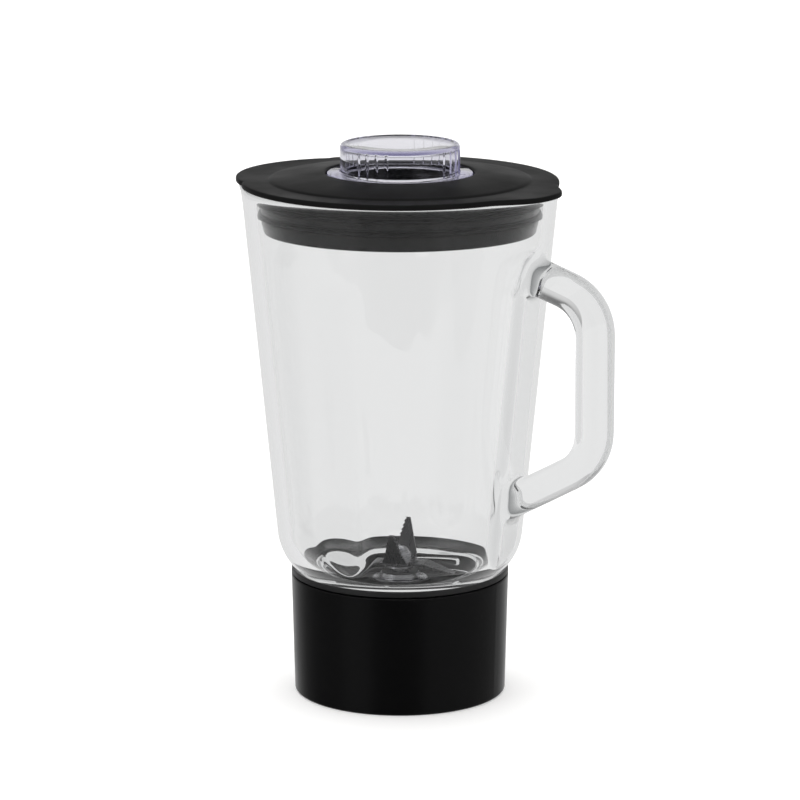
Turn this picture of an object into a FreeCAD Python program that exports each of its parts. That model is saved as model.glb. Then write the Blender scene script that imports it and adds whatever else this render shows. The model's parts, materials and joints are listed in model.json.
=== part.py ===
"""Glass blender jug on its black locking base.

Frame: origin at the centre of the base's foot rim, +Z up, +X towards the handle, millimetres.
Every function below builds one sub-part; the last section writes each one to parts/NAME.step.
"""

import FreeCAD
import Part

import math
import os

V = FreeCAD.Vector
UP = V(0, 0, 1)
ORIGIN = V(0, 0, 0)

# ---------------------------------------------------------------- driving dimensions
# base
FOOT_R = 48.0                 # outer radius of the sleeve where it stands
SLEEVE_TOP_R = 49.3
SLEEVE_H = 54.4
SLEEVE_WALL = 2.0
SHADOW_GAP = 0.6              # groove between sleeve and collar rim
RIM_TOP = 57.6                # top of the collar's rim
COLLAR_SKIRT_R = 44.4         # lower tube of the collar, inside the sleeve's ledge
BOSS_PCD_R = 40.2             # circle through the docking screws
SCREW_COUNT = 4
SCREW_START = 45.0
SCREW_HEAD_R = 2.9
SCREW_SHANK_R = 1.25
DOCK_BORE = 36.0              # bore of the docking ring
DOCK_Z = (2.4, 8.9)
DOCK_FLANGE_R = 45.6
DOCK_FLANGE_TOP = 5.9
DOCK_NOTCH_COUNT = 3
DOCK_NOTCH_DEPTH = 3.2
DOCK_NOTCH_SPAN = 24.0

# glass jar
CONE_FOOT_Z = 74.0            # where the conical wall ends and the shoulder begins
CONE_FOOT_R = 55.6
CONE_SLOPE = 0.0972           # outward run per unit of height
JAR_TOP = 232.0
GLASS_WALL = 5.6
NECK_R = 41.0
NECK_BORE = 36.0
JAR_FOOT = 42.0               # lower rim of the glass, on the gasket
RIB_COUNT = 4
RIB_R = 46.0                  # radius of the round-nosed ribs inside the wall
RIB_DEPTH = 2.0               # how far a rib stands proud of the inner wall at its top
RIB_DEPTH_LOW = 3.2           # and at the foot of the cone
RIB_TOP = 203.0               # top of a rib's arch
SHOULDER_R = 26.3             # radius of the glass shoulder's outer curve
SHOULDER_LEAN = math.atan(CONE_SLOPE)
SHOULDER_C = (CONE_FOOT_R - SHOULDER_R * math.cos(SHOULDER_LEAN),
              CONE_FOOT_Z + SHOULDER_R * math.sin(SHOULDER_LEAN))
SHOULDER_MIDDLE = 62.0        # a height on the shoulder that its arcs pass through
SPOUT_REACH = 75.0            # how far the pouring lip reaches at the rim
SPOUT_R = 51.0                # radius of the lip's curve
SPOUT_DROP = 8.6              # height over which the lip leans out
RIM_ROUND = 1.6               # rounding of the rim's edges

# handle, in the X-Z plane
GRIP_X = 96.8                 # centreline of the upright grip
HANDLE_TOP = (64.0, 198.3)    # centreline where the upper arm leaves the wall
HANDLE_LOW = (55.5, 92.9)     # centreline where the lower arm leaves the wall
UPPER_ARM_SLOPE = -0.337
LOWER_ARM_SLOPE = 0.56
ELBOW_R_TOP = 21.0
ELBOW_R_LOW = 22.0
GRIP_THICK = 15.0
GRIP_WIDTH = 19.0
GRIP_ROUND = 6.4              # corner radius of the grip's section
ROOT_FLARE = 4.5              # how far the glass swells where an arm meets the wall

# bayonet between jar and collar
LUG_COUNT = 4
LUG_SPAN = 36.0
LUG_Z = (46.0, 49.4)
GLASS_LUG_R = 43.5
COLLAR_BORE = 44.0
COLLAR_LUG_Z = (49.8, 52.2)
COLLAR_LUG_R = 41.7

# blade unit
CARRIER_R = 42.6
CARRIER_Z = (36.0, 39.4)
CARRIER_FOOT = 32.4           # flat underside of the carrier
CARRIER_SPIGOT_R = 31.8       # part of the carrier that drops through the collar's seat
KEY_COUNT = 3                 # keys that stop the carrier turning
KEY_START = 90.0
KEY_WIDTH = 8.0
GASKET_TOP = 41.9
SHAFT_R = 4.0
RUNNING = 0.04                # radial clearance of the shaft in its bushes
HOUSING_R = 9.0
HOUSING_Z = (23.6, 52.0)
HOUSING_FLANGE_R = 13.0
HOUSING_FLANGE_Z = (46.4, 48.2)
HOUSING_NUT_AF = 26.0
HOUSING_NUT_T = 2.6
BUSH_R = 6.4
UPPER_BUSH_Z = (40.0, 49.0)
LOWER_BUSH_Z = (24.2, 32.2)
SEAL_R = 7.4
SEAL_Z = (49.2, 52.6)
NECK_SHAFT_R = 3.0            # reduced end of the shaft that carries the blades
SHAFT_STEP_Z = 54.8           # shaft shoulder under the blade spacer
CLIP_GROOVE_R = 3.2
CLIP_Z = (22.0, 22.8)
COUPLING_R = 15.0
COUPLING_Z = (10.6, 21.6)
DOG_COUNT = 6
DOG_INNER_R = 9.4
DOG_SPAN = 26.0
INSERT_AF = 9.0
BLADE_Z = 57.0                # underside of the lower blade
BLADE_T = 1.2
NUT_Z = BLADE_Z + 2 * BLADE_T
UPPER_BLADE_DEG = 106.0       # the way the blades happen to point at rest
LOWER_BLADE_DEG = UPPER_BLADE_DEG + 90.0

# lid
FLANGE_R = 71.0
FLANGE_TOP = 234.8
FLANGE_T = 2.4
LID_UNDER = FLANGE_TOP - FLANGE_T
LID_CEILING = 230.8
CREASE_R = 59.0               # where the flat rim turns up into the crown
PLUG_R = (61.5, 63.3)         # radius of the plug at its foot and under the flange
PLUG_FOOT = 213.0
SPIGOT_R = 57.5               # rim under the crown that the plug is pushed onto
SEAL_LOW = 220.2              # underside of each seal's groove
SEAL_HIGH = 226.0
SEAL_T = 2.0
CREST_Z = 238.4               # highest ring of the crown, round the recess
RECESS_R = 33.2
RECESS_FLOOR = 235.6
LOBE_R = 51.0                 # curve of the flange over the pouring lip
LOBE_REACH = 76.7
TAB_REACH = 80.5
TAB_TURN = -6.0               # the tab sits this far round from the handle's line
TAB_TIP_HALF = 8.0            # half-angles of the tapered tab at its tip and at the flange
TAB_FOOT_HALF = 24.0
TAB_ROUND = 5.0

# measuring cap
CAP_HOLE_R = 26.6
CAP_TUBE_R = 26.1
CAP_FLANGE_R = 32.6
CAP_FLANGE_Z = (235.9, 238.0)
CAP_DRUM_R = 26.7
CAP_TOP = 251.2
CAP_FOOT = 212.0
CAP_WALL = 1.8
GRIP_RIBS = 4                 # ribs in each of the four groups
GRIP_RIB_STEP = 10.0


# ---------------------------------------------------------------- helpers
def at(r, z):
    """A point of a turned profile, in the X-Z plane."""
    return V(r, 0, z)


def outline(points):
    """A closed wire through (r, z) points; ((r, z) middle, (r, z) end) is an arc."""
    edges = []
    here = points[0]
    for step in points[1:] + [points[0]]:
        if isinstance(step[0], tuple):
            middle, end = step
            edges.append(Part.Arc(at(*here), at(*middle), at(*end)).toShape())
        else:
            end = step
            edges.append(Part.makeLine(at(*here), at(*end)))
        here = end
    return Part.Wire(edges)


def lathe(points):
    """A solid turned about the Z axis from a closed profile."""
    return Part.Face(outline(points)).revolve(ORIGIN, UP, 360)


def ring(r_in, r_out, z_low, z_high):
    """A plain turned ring."""
    return lathe([(r_in, z_low), (r_out, z_low), (r_out, z_high), (r_in, z_high)])


def ring_sector(r_in, r_out, z_low, z_high, centre_deg, span_deg):
    """Part of a ring, centred on an angle about Z."""
    face = Part.Face(outline([(r_in, z_low), (r_out, z_low), (r_out, z_high), (r_in, z_high)]))
    sector = face.revolve(ORIGIN, UP, span_deg)
    return turned(sector, centre_deg - span_deg / 2)


def turned(shape, degrees):
    """A copy turned about Z."""
    copy = shape.copy()
    copy.rotate(ORIGIN, UP, degrees)
    return copy


def around(shape, count, start=0.0):
    """Copies of a shape evenly spaced about Z."""
    return [turned(shape, start + 360.0 * i / count) for i in range(count)]


def fuse_all(shapes):
    """One shape from several that overlap, with seams between like faces removed."""
    return shapes[0].multiFuse(shapes[1:]).removeSplitter()


def cone_r(z):
    """Outer radius of the jar's conical wall."""
    return CONE_FOOT_R + CONE_SLOPE * (z - CONE_FOOT_Z)


# ---------------------------------------------------------------- base
def base_sleeve():
    """Slightly flared outer shell; its foot rim is what the jug stands on."""
    inner_foot = FOOT_R - SLEEVE_WALL
    inner_top = SLEEVE_TOP_R - SLEEVE_WALL
    ledge_r = 44.6
    ledge_z = (6.0, 8.0)
    edge = 1.2
    soft = 0.4
    return lathe([
        (inner_foot, 0),
        (FOOT_R - edge, 0),
        ((FOOT_R - 0.3 * edge, 0.3 * edge), (FOOT_R, edge)),
        (SLEEVE_TOP_R, SLEEVE_H - soft),
        (SLEEVE_TOP_R - soft, SLEEVE_H),
        (inner_top, SLEEVE_H),
        (inner_foot + 0.2, ledge_z[1]),
        (ledge_r, ledge_z[1]),
        (ledge_r, ledge_z[0]),
        (inner_foot, ledge_z[0]),
    ])


def on_shoulder(radius, z):
    """Radius at a height on a curve concentric with the glass shoulder."""
    return SHOULDER_C[0] + math.sqrt(radius ** 2 - (SHOULDER_C[1] - z) ** 2)


def collar():
    """Inner body: rim, nest for the glass shoulder, bayonet lugs, blade-unit seat, screw bosses."""
    nest = SHOULDER_R + 0.5
    nest_foot = 55.2
    neck_wall = 45.9
    rim_low = SLEEVE_H + SHADOW_GAP
    skirt_wall = 2.0
    skirt_foot = 9.0
    seat_low = CARRIER_Z[0] - 3.0
    seat_bore = CARRIER_SPIGOT_R + 1.6
    slot_width = KEY_WIDTH + 0.4
    body = lathe([
        (seat_bore, seat_low),
        (COLLAR_SKIRT_R - skirt_wall, seat_low),
        (COLLAR_SKIRT_R - skirt_wall, skirt_foot),
        (COLLAR_SKIRT_R, skirt_foot),
        (COLLAR_SKIRT_R, seat_low - 2.0),
        (neck_wall, seat_low),
        (neck_wall, rim_low - 2.0),
        (neck_wall + 0.9, rim_low),
        (SLEEVE_TOP_R - 0.4, rim_low),
        (SLEEVE_TOP_R, rim_low + 0.4),
        (SLEEVE_TOP_R - 0.1, RIM_TOP - 0.5),
        (SLEEVE_TOP_R - 0.5, RIM_TOP),
        (on_shoulder(nest, RIM_TOP), RIM_TOP),
        ((on_shoulder(nest, 56.5), 56.5), (on_shoulder(nest, nest_foot), nest_foot)),
        (COLLAR_BORE, nest_foot - 1.6),
        (COLLAR_BORE, CARRIER_Z[0]),
        (seat_bore, CARRIER_Z[0]),
    ])
    lug = ring_sector(COLLAR_LUG_R, COLLAR_BORE + 0.8, *COLLAR_LUG_Z, 0, LUG_SPAN)
    stop = ring_sector(COLLAR_LUG_R, COLLAR_BORE + 0.8, LUG_Z[0] - 1, COLLAR_LUG_Z[0] + 0.2,
                       LUG_SPAN / 2 + 2.4, 4.0)
    boss = Part.makeCylinder(3.4, seat_low - skirt_foot, V(BOSS_PCD_R, 0, skirt_foot))
    pilot = Part.makeCylinder(SCREW_SHANK_R + 0.05, 10.0, V(BOSS_PCD_R, 0, skirt_foot))
    key = Part.makeBox(6.4, slot_width, 4.0, V(seat_bore - 0.4, -slot_width / 2, CARRIER_Z[0] - 3.2))
    solid = fuse_all([body] + around(lug, LUG_COUNT) + around(stop, LUG_COUNT)
                     + around(boss, SCREW_COUNT, SCREW_START))
    for hole in around(pilot, SCREW_COUNT, SCREW_START) + around(key, KEY_COUNT, KEY_START):
        solid = solid.cut(hole)
    return solid


def docking_ring():
    """Bayonet ring in the foot, with entry notches for the appliance's locking lugs."""
    tube_r = COLLAR_SKIRT_R - 0.2
    body = lathe([
        (DOCK_BORE, DOCK_Z[0]),
        (DOCK_FLANGE_R, DOCK_Z[0]),
        (DOCK_FLANGE_R, DOCK_FLANGE_TOP),
        (tube_r, DOCK_FLANGE_TOP),
        (tube_r, DOCK_Z[1]),
        (DOCK_BORE, DOCK_Z[1]),
    ])
    below = DOCK_Z[0] - 1
    notch = ring_sector(DOCK_BORE - 2, DOCK_BORE + DOCK_NOTCH_DEPTH, below, DOCK_Z[1] + 1, 0, DOCK_NOTCH_SPAN)
    hole = Part.makeCylinder(SCREW_SHANK_R + 0.45, 10, V(BOSS_PCD_R, 0, below))
    head = Part.makeCylinder(SCREW_HEAD_R + 0.2, 3.0, V(BOSS_PCD_R, 0, below))
    for tool in (around(notch, DOCK_NOTCH_COUNT) + around(hole, SCREW_COUNT, SCREW_START)
                 + around(head, SCREW_COUNT, SCREW_START)):
        body = body.cut(tool)
    return body


def docking_screws():
    """Pan-head screws that hold the docking ring, and so the sleeve, to the collar."""
    seat = DOCK_Z[0] + 2.0
    head = Part.makeCylinder(SCREW_HEAD_R, 1.8, V(BOSS_PCD_R, 0, seat - 1.8))
    head = head.makeFillet(0.6, [e for e in head.Edges if e.BoundBox.ZMax < seat - 1.0])
    shank = Part.makeCylinder(SCREW_SHANK_R, 12.0, V(BOSS_PCD_R, 0, seat - 0.1))
    screw = head.fuse(shank)
    arm = 2.6
    for angle in (0, 90):
        slot = Part.makeBox(arm, 0.6, 1.0, V(BOSS_PCD_R - arm / 2, -0.3, seat - 2.0))
        slot.rotate(V(BOSS_PCD_R, 0, 0), UP, angle)
        screw = screw.cut(slot)
    return Part.makeCompound(around(screw, SCREW_COUNT, SCREW_START))


# ---------------------------------------------------------------- blade unit, fixed parts
def blade_carrier():
    """Moulded floor of the jug: flat underneath, flanged, with a domed centre for the bearing housing."""
    dome_top = HOUSING_FLANGE_Z[0]
    body = lathe([
        (HOUSING_R, CARRIER_FOOT),
        (CARRIER_SPIGOT_R - 0.8, CARRIER_FOOT),
        (CARRIER_SPIGOT_R, CARRIER_FOOT + 0.8),
        (CARRIER_SPIGOT_R, CARRIER_Z[0]),
        (CARRIER_R, CARRIER_Z[0]),
        (CARRIER_R, CARRIER_Z[1] - 0.6),
        (CARRIER_R - 0.6, CARRIER_Z[1]),
        (34.4, CARRIER_Z[1]),
        (32.6, CARRIER_Z[1] - 1.4),
        (25.0, CARRIER_Z[1] - 1.4),
        ((18.0, 40.2), (HOUSING_FLANGE_R + 1.4, dome_top)),
        (HOUSING_R, dome_top),
    ])
    key = Part.makeBox(7.0, KEY_WIDTH, 3.4, V(CARRIER_SPIGOT_R, -KEY_WIDTH / 2, CARRIER_Z[0] - 2.6))
    return fuse_all([body] + around(key, KEY_COUNT, KEY_START))


def jar_gasket():
    """Soft ring between the glass and the carrier, with a locating bead under it."""
    return lathe([
        (35.2, CARRIER_Z[1]),
        (41.2, CARRIER_Z[1]),
        (41.4, CARRIER_Z[1] + 0.4),
        (41.0, GASKET_TOP),
        (35.6, GASKET_TOP),
        (35.0, CARRIER_Z[1] + 0.6),
    ])


def bearing_housing():
    """Turned tube that carries both bushes and the shaft seal; threaded below for its nut."""
    crown = HOUSING_Z[1]
    return lathe([
        (BUSH_R, HOUSING_Z[0] + 0.6),
        (BUSH_R + 0.6, HOUSING_Z[0]),
        (HOUSING_R - 0.6, HOUSING_Z[0]),
        (HOUSING_R, HOUSING_Z[0] + 0.6),
        (HOUSING_R, HOUSING_FLANGE_Z[0]),
        (HOUSING_FLANGE_R, HOUSING_FLANGE_Z[0]),
        (HOUSING_FLANGE_R, HOUSING_FLANGE_Z[1] - 0.6),
        (HOUSING_FLANGE_R - 0.6, HOUSING_FLANGE_Z[1]),
        ((10.6, HOUSING_FLANGE_Z[1] + 0.7), (9.4, HOUSING_FLANGE_Z[1] + 2.4)),
        (8.8, crown),
        (SEAL_R, crown),
        (SEAL_R, SEAL_Z[0]),
        (BUSH_R, SEAL_Z[0]),
    ])


def bush(z_low, z_high):
    """Sintered bush with chamfered ends."""
    bore = SHAFT_R + RUNNING
    edge = 0.5
    return lathe([
        (bore + edge, z_low),
        (BUSH_R - edge, z_low),
        (BUSH_R, z_low + edge),
        (BUSH_R, z_high - edge),
        (BUSH_R - edge, z_high),
        (bore + edge, z_high),
        (bore, z_high - edge),
        (bore, z_low + edge),
    ])


def shaft_seal():
    """Lip seal pressed into the top of the housing."""
    lip = SHAFT_R + RUNNING
    return lathe([
        (lip + 1.4, SEAL_Z[0]),
        (SEAL_R, SEAL_Z[0]),
        (SEAL_R, SEAL_Z[1] - 0.6),
        (8.6, SEAL_Z[1] - 0.6),
        (8.6, SEAL_Z[1]),
        (lip + 0.9, SEAL_Z[1]),
        (lip, SEAL_Z[1] - 0.7),
        (lip, SEAL_Z[1] - 1.3),
        (lip + 1.4, SEAL_Z[1] - 2.2),
    ])


def hex_prism(across_flats, z_low, z_high):
    """Six-sided bar about Z."""
    corner = across_flats / math.sqrt(3)
    points = [V(corner * math.cos(math.radians(60 * i)), corner * math.sin(math.radians(60 * i)), z_low)
              for i in range(7)]
    return Part.Face(Part.makePolygon(points)).extrude(V(0, 0, z_high - z_low))


def housing_nut():
    """Thin hexagon nut that clamps the housing into the carrier from below."""
    low, high = CARRIER_FOOT - HOUSING_NUT_T, CARRIER_FOOT
    nut = hex_prism(HOUSING_NUT_AF, low, high)
    rounder = lathe([(0, low), (14.0, low), (15.2, low + 0.7), (15.2, high), (0, high)])
    return nut.common(rounder).cut(Part.makeCylinder(HOUSING_R, 6, V(0, 0, low - 1)))


# ---------------------------------------------------------------- blade unit, turning parts
def blade_shaft():
    """Stepped spindle, grooved for its clip and flatted where the coupling screws on."""
    foot = 12.6
    return lathe([
        (0, foot),
        (NECK_SHAFT_R - 0.5, foot),
        (NECK_SHAFT_R, foot + 0.5),
        (NECK_SHAFT_R, COUPLING_Z[1]),
        (SHAFT_R, COUPLING_Z[1]),
        (SHAFT_R, CLIP_Z[0]),
        (CLIP_GROOVE_R, CLIP_Z[0]),
        (CLIP_GROOVE_R, CLIP_Z[1]),
        (SHAFT_R, CLIP_Z[1]),
        (SHAFT_R, SHAFT_STEP_Z),
        (NECK_SHAFT_R, SHAFT_STEP_Z),
        (NECK_SHAFT_R, NUT_Z + 4.0),
        (NECK_SHAFT_R - 0.5, NUT_Z + 4.5),
        (0, NUT_Z + 4.5),
    ])


def retaining_ring():
    """Open spring clip in the shaft's groove."""
    clip = ring(CLIP_GROOVE_R, 6.0, *CLIP_Z)
    gap = Part.makeBox(7, 3.0, 2, V(2, -1.5, CLIP_Z[0] - 0.5))
    ear = Part.makeCylinder(1.3, CLIP_Z[1] - CLIP_Z[0], V(5.6, 2.5, CLIP_Z[0]))
    ear_low = Part.makeCylinder(1.3, CLIP_Z[1] - CLIP_Z[0], V(5.6, -2.5, CLIP_Z[0]))
    return fuse_all([clip, ear, ear_low]).cut(gap)


def thrust_washer():
    """Hard washer between the clip and the housing."""
    return ring(SHAFT_R + RUNNING, 7.0, CLIP_Z[1] + 0.05, CLIP_Z[1] + 0.65)


def blade_spacer():
    """Collar that lifts the blades clear of the seal."""
    return lathe([
        (NECK_SHAFT_R, SHAFT_STEP_Z),
        (6.6, SHAFT_STEP_Z),
        (7.0, SHAFT_STEP_Z + 0.4),
        (6.2, BLADE_Z),
        (NECK_SHAFT_R, BLADE_Z),
    ])


def serrated_plan(length, root_half, tip_half, teeth):
    """Blade plan along +X: a straight back edge and a toothed leading edge that runs to the tip."""
    points = [V(0, -root_half, 0), V(length, -tip_half, 0), V(length, tip_half, 0)]
    tooth_depth = 0.7
    start = 0.15 * length
    for i in range(teeth):
        far = length - (length - start) * i / teeth
        near = length - (length - start) * (i + 1) / teeth
        edge_far = tip_half + (root_half - tip_half) * (1 - far / length)
        points += [V(far, edge_far, 0), V(far - 0.25 * (far - near), edge_far - tooth_depth, 0)]
    points += [V(start, tip_half + (root_half - tip_half) * (1 - start / length), 0), V(0, root_half, 0)]
    clean = [p for i, p in enumerate(points) if i == 0 or (p - points[i - 1]).Length > 1e-6]
    return Part.Face(Part.makePolygon(clean + [clean[0]]))


def bent_wing(reach, bend_r, bend_deg, length, root_half, tip_half, teeth):
    """One wing along +X, lying on z = 0, turned up (or down, for a negative angle) beyond its reach."""
    flat = Part.makeBox(reach, 2 * root_half, BLADE_T, V(0, -root_half, 0))
    sign = 1 if bend_deg > 0 else -1
    pivot_z = BLADE_T + bend_r if sign > 0 else -bend_r
    pivot = V(reach, 0, pivot_z)
    end_face = Part.Face(Part.makePolygon([
        V(reach, -root_half, 0), V(reach, root_half, 0), V(reach, root_half, BLADE_T),
        V(reach, -root_half, BLADE_T), V(reach, -root_half, 0)]))
    bend = end_face.revolve(pivot, V(0, -1, 0), bend_deg)
    plate = serrated_plan(length, root_half, tip_half, teeth).extrude(V(0, 0, BLADE_T))
    plate.translate(V(reach, 0, 0))
    plate.rotate(pivot, V(0, -1, 0), bend_deg)
    return fuse_all([flat, bend, plate])


def blade(wing, start_deg):
    """Two opposite wings on a round hub, bored for the shaft."""
    hub = Part.makeCylinder(8.6, BLADE_T)
    body = fuse_all([hub] + around(wing, 2, start_deg))
    return body.cut(Part.makeCylinder(NECK_SHAFT_R, 4 * BLADE_T, V(0, 0, -BLADE_T)))


def upper_blade():
    """Pair of wings turned steeply up, with toothed edges."""
    wing = bent_wing(9.0, 2.4, 68.0, 16.4, 5.4, 1.2, 7)
    body = blade(wing, UPPER_BLADE_DEG)
    body.translate(V(0, 0, BLADE_Z + BLADE_T))
    return body


def lower_blade():
    """Pair of wings turned gently down to sweep the floor of the jug."""
    wing = bent_wing(11.0, 3.0, -24.0, 15.0, 6.0, 2.4, 6)
    body = blade(wing, LOWER_BLADE_DEG)
    body.translate(V(0, 0, BLADE_Z))
    return body


def blade_nut():
    """Domed cap nut that clamps both blades to the shaft."""
    low = NUT_Z
    hex_top = low + 4.4
    dome_r = 4.4
    dome_foot = hex_top + 0.2
    dome_rise = 3.2
    sphere_r = (dome_r ** 2 + dome_rise ** 2) / (2 * dome_rise)
    half = math.asin(dome_r / sphere_r) / 2
    middle = (sphere_r * math.sin(half), dome_foot + dome_rise - sphere_r * (1 - math.cos(half)))
    hexagon = hex_prism(10.0, low, hex_top)
    rounder = lathe([(0, low), (5.3, low), (5.8, low + 0.6), (5.8, hex_top - 0.8), (5.0, hex_top),
                     (0, hex_top)])
    dome = lathe([(0, low), (dome_r, low), (dome_r, dome_foot), (middle, (0, dome_foot + dome_rise))])
    bore = Part.makeCylinder(NECK_SHAFT_R, 5.0, V(0, 0, low - 0.1))
    return hexagon.common(rounder).fuse(dome).removeSplitter().cut(bore)


def drive_coupling():
    """Moulded dog clutch: disc with six dogs facing down and a hub round its metal insert."""
    floor = COUPLING_Z[0] + 6.4
    disc = lathe([
        (0, floor), (COUPLING_R, floor), (COUPLING_R, floor + 2.6), (COUPLING_R - 0.8, floor + 3.2),
        (7.6, floor + 3.2), (7.2, COUPLING_Z[1]), (0, COUPLING_Z[1])])
    hub = Part.makeCylinder(6.8, 3.4, V(0, 0, floor - 3.2))
    dog = ring_sector(DOG_INNER_R, COUPLING_R, COUPLING_Z[0], floor + 0.2, 0, DOG_SPAN)
    dog = dog.makeFillet(0.8, [e for e in dog.Edges if e.BoundBox.ZMax < COUPLING_Z[0] + 0.1])
    body = fuse_all([disc, hub] + around(dog, DOG_COUNT))
    return body.cut(hex_prism(INSERT_AF, COUPLING_Z[0], COUPLING_Z[1] + 1))


def coupling_insert():
    """Hexagon insert, threaded on the shaft, that the coupling is moulded round."""
    low = COUPLING_Z[0] + 3.2
    insert = hex_prism(INSERT_AF, low, COUPLING_Z[1])
    return insert.cut(Part.makeCylinder(NECK_SHAFT_R, 20, V(0, 0, low - 1)))


# ---------------------------------------------------------------- glass jar
def jar_outer():
    """Outside of the jar body, filled: cone, rounded shoulder and neck."""
    neck_top = SHOULDER_C[1] - math.sqrt(SHOULDER_R ** 2 - (NECK_R - SHOULDER_C[0]) ** 2)
    return lathe([
        (0, JAR_FOOT),
        (NECK_R - 1.0, JAR_FOOT),
        ((NECK_R - 0.3, JAR_FOOT + 0.3), (NECK_R, JAR_FOOT + 1.0)),
        (NECK_R, neck_top),
        ((on_shoulder(SHOULDER_R, SHOULDER_MIDDLE), SHOULDER_MIDDLE), (CONE_FOOT_R, CONE_FOOT_Z)),
        (cone_r(JAR_TOP), JAR_TOP),
        (0, JAR_TOP),
    ])


def jar_cavity():
    """Inside of the jar body: cone, shoulder and neck bore, without its ribs."""
    inner = SHOULDER_R - GLASS_WALL
    neck_z = SHOULDER_C[1] - math.sqrt(inner ** 2 - (NECK_BORE - SHOULDER_C[0]) ** 2)
    over = JAR_TOP + 10
    return lathe([
        (0, JAR_FOOT - 5),
        (NECK_BORE, JAR_FOOT - 5),
        (NECK_BORE, neck_z),
        ((on_shoulder(inner, SHOULDER_MIDDLE), SHOULDER_MIDDLE), (CONE_FOOT_R - GLASS_WALL, CONE_FOOT_Z)),
        (cone_r(over) - GLASS_WALL, over),
        (0, over),
    ])


def rib():
    """One round-nosed rib: a leaning cylinder with a ball on top, along +X."""
    top_z = RIB_TOP - math.sqrt(RIB_R ** 2 - (RIB_R - RIB_DEPTH) ** 2)
    out = RIB_R / math.cos(SHOULDER_LEAN) - GLASS_WALL
    axis_top = V(cone_r(top_z) - RIB_DEPTH + out, 0, top_z)
    axis_low = V(cone_r(CONE_FOOT_Z) - RIB_DEPTH_LOW + out, 0, CONE_FOOT_Z)
    shaft = Part.makeCylinder(RIB_R, 165.0, axis_top, axis_low - axis_top)
    return shaft.fuse(Part.makeSphere(RIB_R, axis_top)).removeSplitter()


def oblique_cone(radius, low_reach, high_reach, z_low, z_high):
    """Leaning round bar on the -X side that reaches further out at its top than at its foot."""
    low = Part.Wire(Part.makeCircle(radius, V(radius - low_reach, 0, z_low)))
    high = Part.Wire(Part.makeCircle(radius, V(radius - high_reach, 0, z_high)))
    return Part.makeLoft([low, high], True, True)


def arm_point(start, slope, x):
    """Point of an arm's centreline at a distance from the axis."""
    return (x, start[1] + slope * (x - start[0]))


def elbow(before, corner, after, radius):
    """Start, middle and end of the arc that rounds a corner of the handle's centreline."""
    to_before = (at(*before) - at(*corner)).normalize()
    to_after = (at(*after) - at(*corner)).normalize()
    half = to_before.getAngle(to_after) / 2
    run = radius / math.tan(half)
    inward = (to_before + to_after).normalize()
    start = at(*corner) + to_before * run
    end = at(*corner) + to_after * run
    middle = at(*corner) + inward * (radius / math.sin(half) - radius)
    return start, middle, end


def grip_section(centre, direction, thick, width, corner):
    """Rounded rectangle square to the handle's centreline."""
    side = V(0, 1, 0)
    across = direction.cross(side).normalize()
    arcs = []
    centres = []
    for a_sign, s_sign in ((1, 1), (-1, 1), (-1, -1), (1, -1)):
        c = (centre + across * (a_sign * (thick / 2 - corner)) + side * (s_sign * (width / 2 - corner)))
        centres.append((c, across * a_sign, side * s_sign))
    for i, (c, a_dir, s_dir) in enumerate(centres):
        first, last = (a_dir, s_dir) if i % 2 == 0 else (s_dir, a_dir)
        arcs.append(Part.Arc(c + first * corner, c + (a_dir + s_dir).normalize() * corner,
                             c + last * corner).toShape())
    edges = []
    for i, arc in enumerate(arcs):
        following = arcs[(i + 1) % 4]
        edges.append(arc)
        edges.append(Part.makeLine(arc.Vertexes[-1].Point, following.Vertexes[0].Point))
    return Part.Wire(edges)


def handle():
    """Glass bow: two sloping arms and an upright grip, one section swept along it."""
    top = arm_point(HANDLE_TOP, UPPER_ARM_SLOPE, GRIP_X)
    low = arm_point(HANDLE_LOW, LOWER_ARM_SLOPE, GRIP_X)
    top_elbow = elbow(HANDLE_TOP, top, low, ELBOW_R_TOP)
    low_elbow = elbow(top, low, HANDLE_LOW, ELBOW_R_LOW)
    path = Part.Wire([
        Part.makeLine(at(*HANDLE_TOP), top_elbow[0]),
        Part.Arc(*top_elbow).toShape(),
        Part.makeLine(top_elbow[2], low_elbow[0]),
        Part.Arc(*low_elbow).toShape(),
        Part.makeLine(low_elbow[2], at(*HANDLE_LOW)),
    ])
    start_dir = (top_elbow[0] - at(*HANDLE_TOP)).normalize()
    section = grip_section(at(*HANDLE_TOP), start_dir, GRIP_THICK, GRIP_WIDTH, GRIP_ROUND)
    bow = path.makePipeShell([section], True, True)
    roots = [root_flare(HANDLE_TOP, UPPER_ARM_SLOPE), root_flare(HANDLE_LOW, LOWER_ARM_SLOPE)]
    return fuse_all([bow] + roots)


def root_flare(start, slope):
    """Swelling of an arm where it grows out of the wall."""
    direction = V(1, 0, slope).normalize()
    near = at(*start)
    spread = 2 * ROOT_FLARE
    length = cone_r(start[1]) - start[0] + 1.6 * ROOT_FLARE
    wide = grip_section(near, direction, GRIP_THICK + spread, GRIP_WIDTH + spread, GRIP_ROUND + 2.0)
    narrow = grip_section(near + direction * length, direction, GRIP_THICK, GRIP_WIDTH, GRIP_ROUND)
    return Part.makeLoft([wide, narrow], True, True)


def jar_block():
    """Outside of the jar body with its pouring lip, filled."""
    z_low = JAR_TOP - SPOUT_DROP
    spout = oblique_cone(SPOUT_R, cone_r(z_low), SPOUT_REACH, z_low, JAR_TOP)
    return jar_outer().fuse(spout).removeSplitter()


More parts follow.
